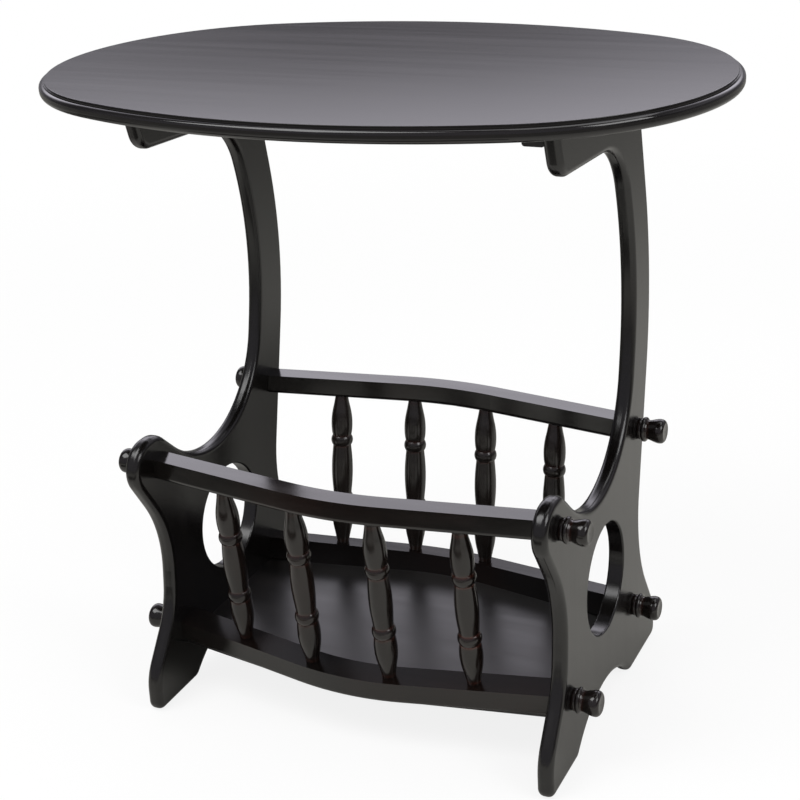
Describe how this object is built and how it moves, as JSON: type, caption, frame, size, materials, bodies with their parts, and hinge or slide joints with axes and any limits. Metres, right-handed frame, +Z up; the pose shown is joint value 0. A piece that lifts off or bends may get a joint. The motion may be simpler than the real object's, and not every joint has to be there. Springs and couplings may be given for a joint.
{
  "type": "side table with magazine rack",
  "caption": "Oval side table on C-shaped end panels with a slatted magazine bin of bowed rails and turned spindles, held by turned knobs.",
  "frame": {"origin": "on the floor under the middle of the oval top", "axes": "+X along the oval top from the left end panel to the right one, -Y the open front of the C-shaped end panels, +Z up"},
  "size_m": [0.5898, 0.402, 0.552],
  "materials": {
    "top_lacquer": "satin espresso lacquer, nearly black",
    "panel_lacquer": "satin espresso lacquer, nearly black",
    "rail_lacquer": "satin espresso lacquer, nearly black",
    "turned_lacquer": "satin espresso lacquer over turned hardwood",
    "cleat_lacquer": "satin espresso lacquer, thinly sprayed",
    "zinc_steel": "zinc-plated steel"
  },
  "bodies": {
    "root": {"table_top": "top_lacquer", "left_end_panel": "panel_lacquer", "right_end_panel": "panel_lacquer", "left_top_cleat": "cleat_lacquer", "right_top_cleat": "cleat_lacquer", "upper_front_rail": "rail_lacquer", "upper_rear_rail": "rail_lacquer", "lower_front_rail": "rail_lacquer", "lower_rear_rail": "rail_lacquer", "bottom_shelf": "rail_lacquer", "front_spindle_1": "turned_lacquer", "front_spindle_2": "turned_lacquer", "front_spindle_3": "turned_lacquer", "front_spindle_4": "turned_lacquer", "rear_spindle_1": "turned_lacquer", "rear_spindle_2": "turned_lacquer", "rear_spindle_3": "turned_lacquer", "rear_spindle_4": "turned_lacquer", "left_upper_front_knob": "turned_lacquer", "left_upper_rear_knob": "turned_lacquer", "left_lower_front_knob": "turned_lacquer", "left_lower_rear_knob": "turned_lacquer", "right_upper_front_knob": "turned_lacquer", "right_upper_rear_knob": "turned_lacquer", "right_lower_front_knob": "turned_lacquer", "right_lower_rear_knob": "turned_lacquer", "shelf_screws": "zinc_steel", "cleat_to_top_screws": "zinc_steel", "cleat_to_panel_screws": "zinc_steel", "knob_studs": "zinc_steel"}
  },
  "joints": []
}
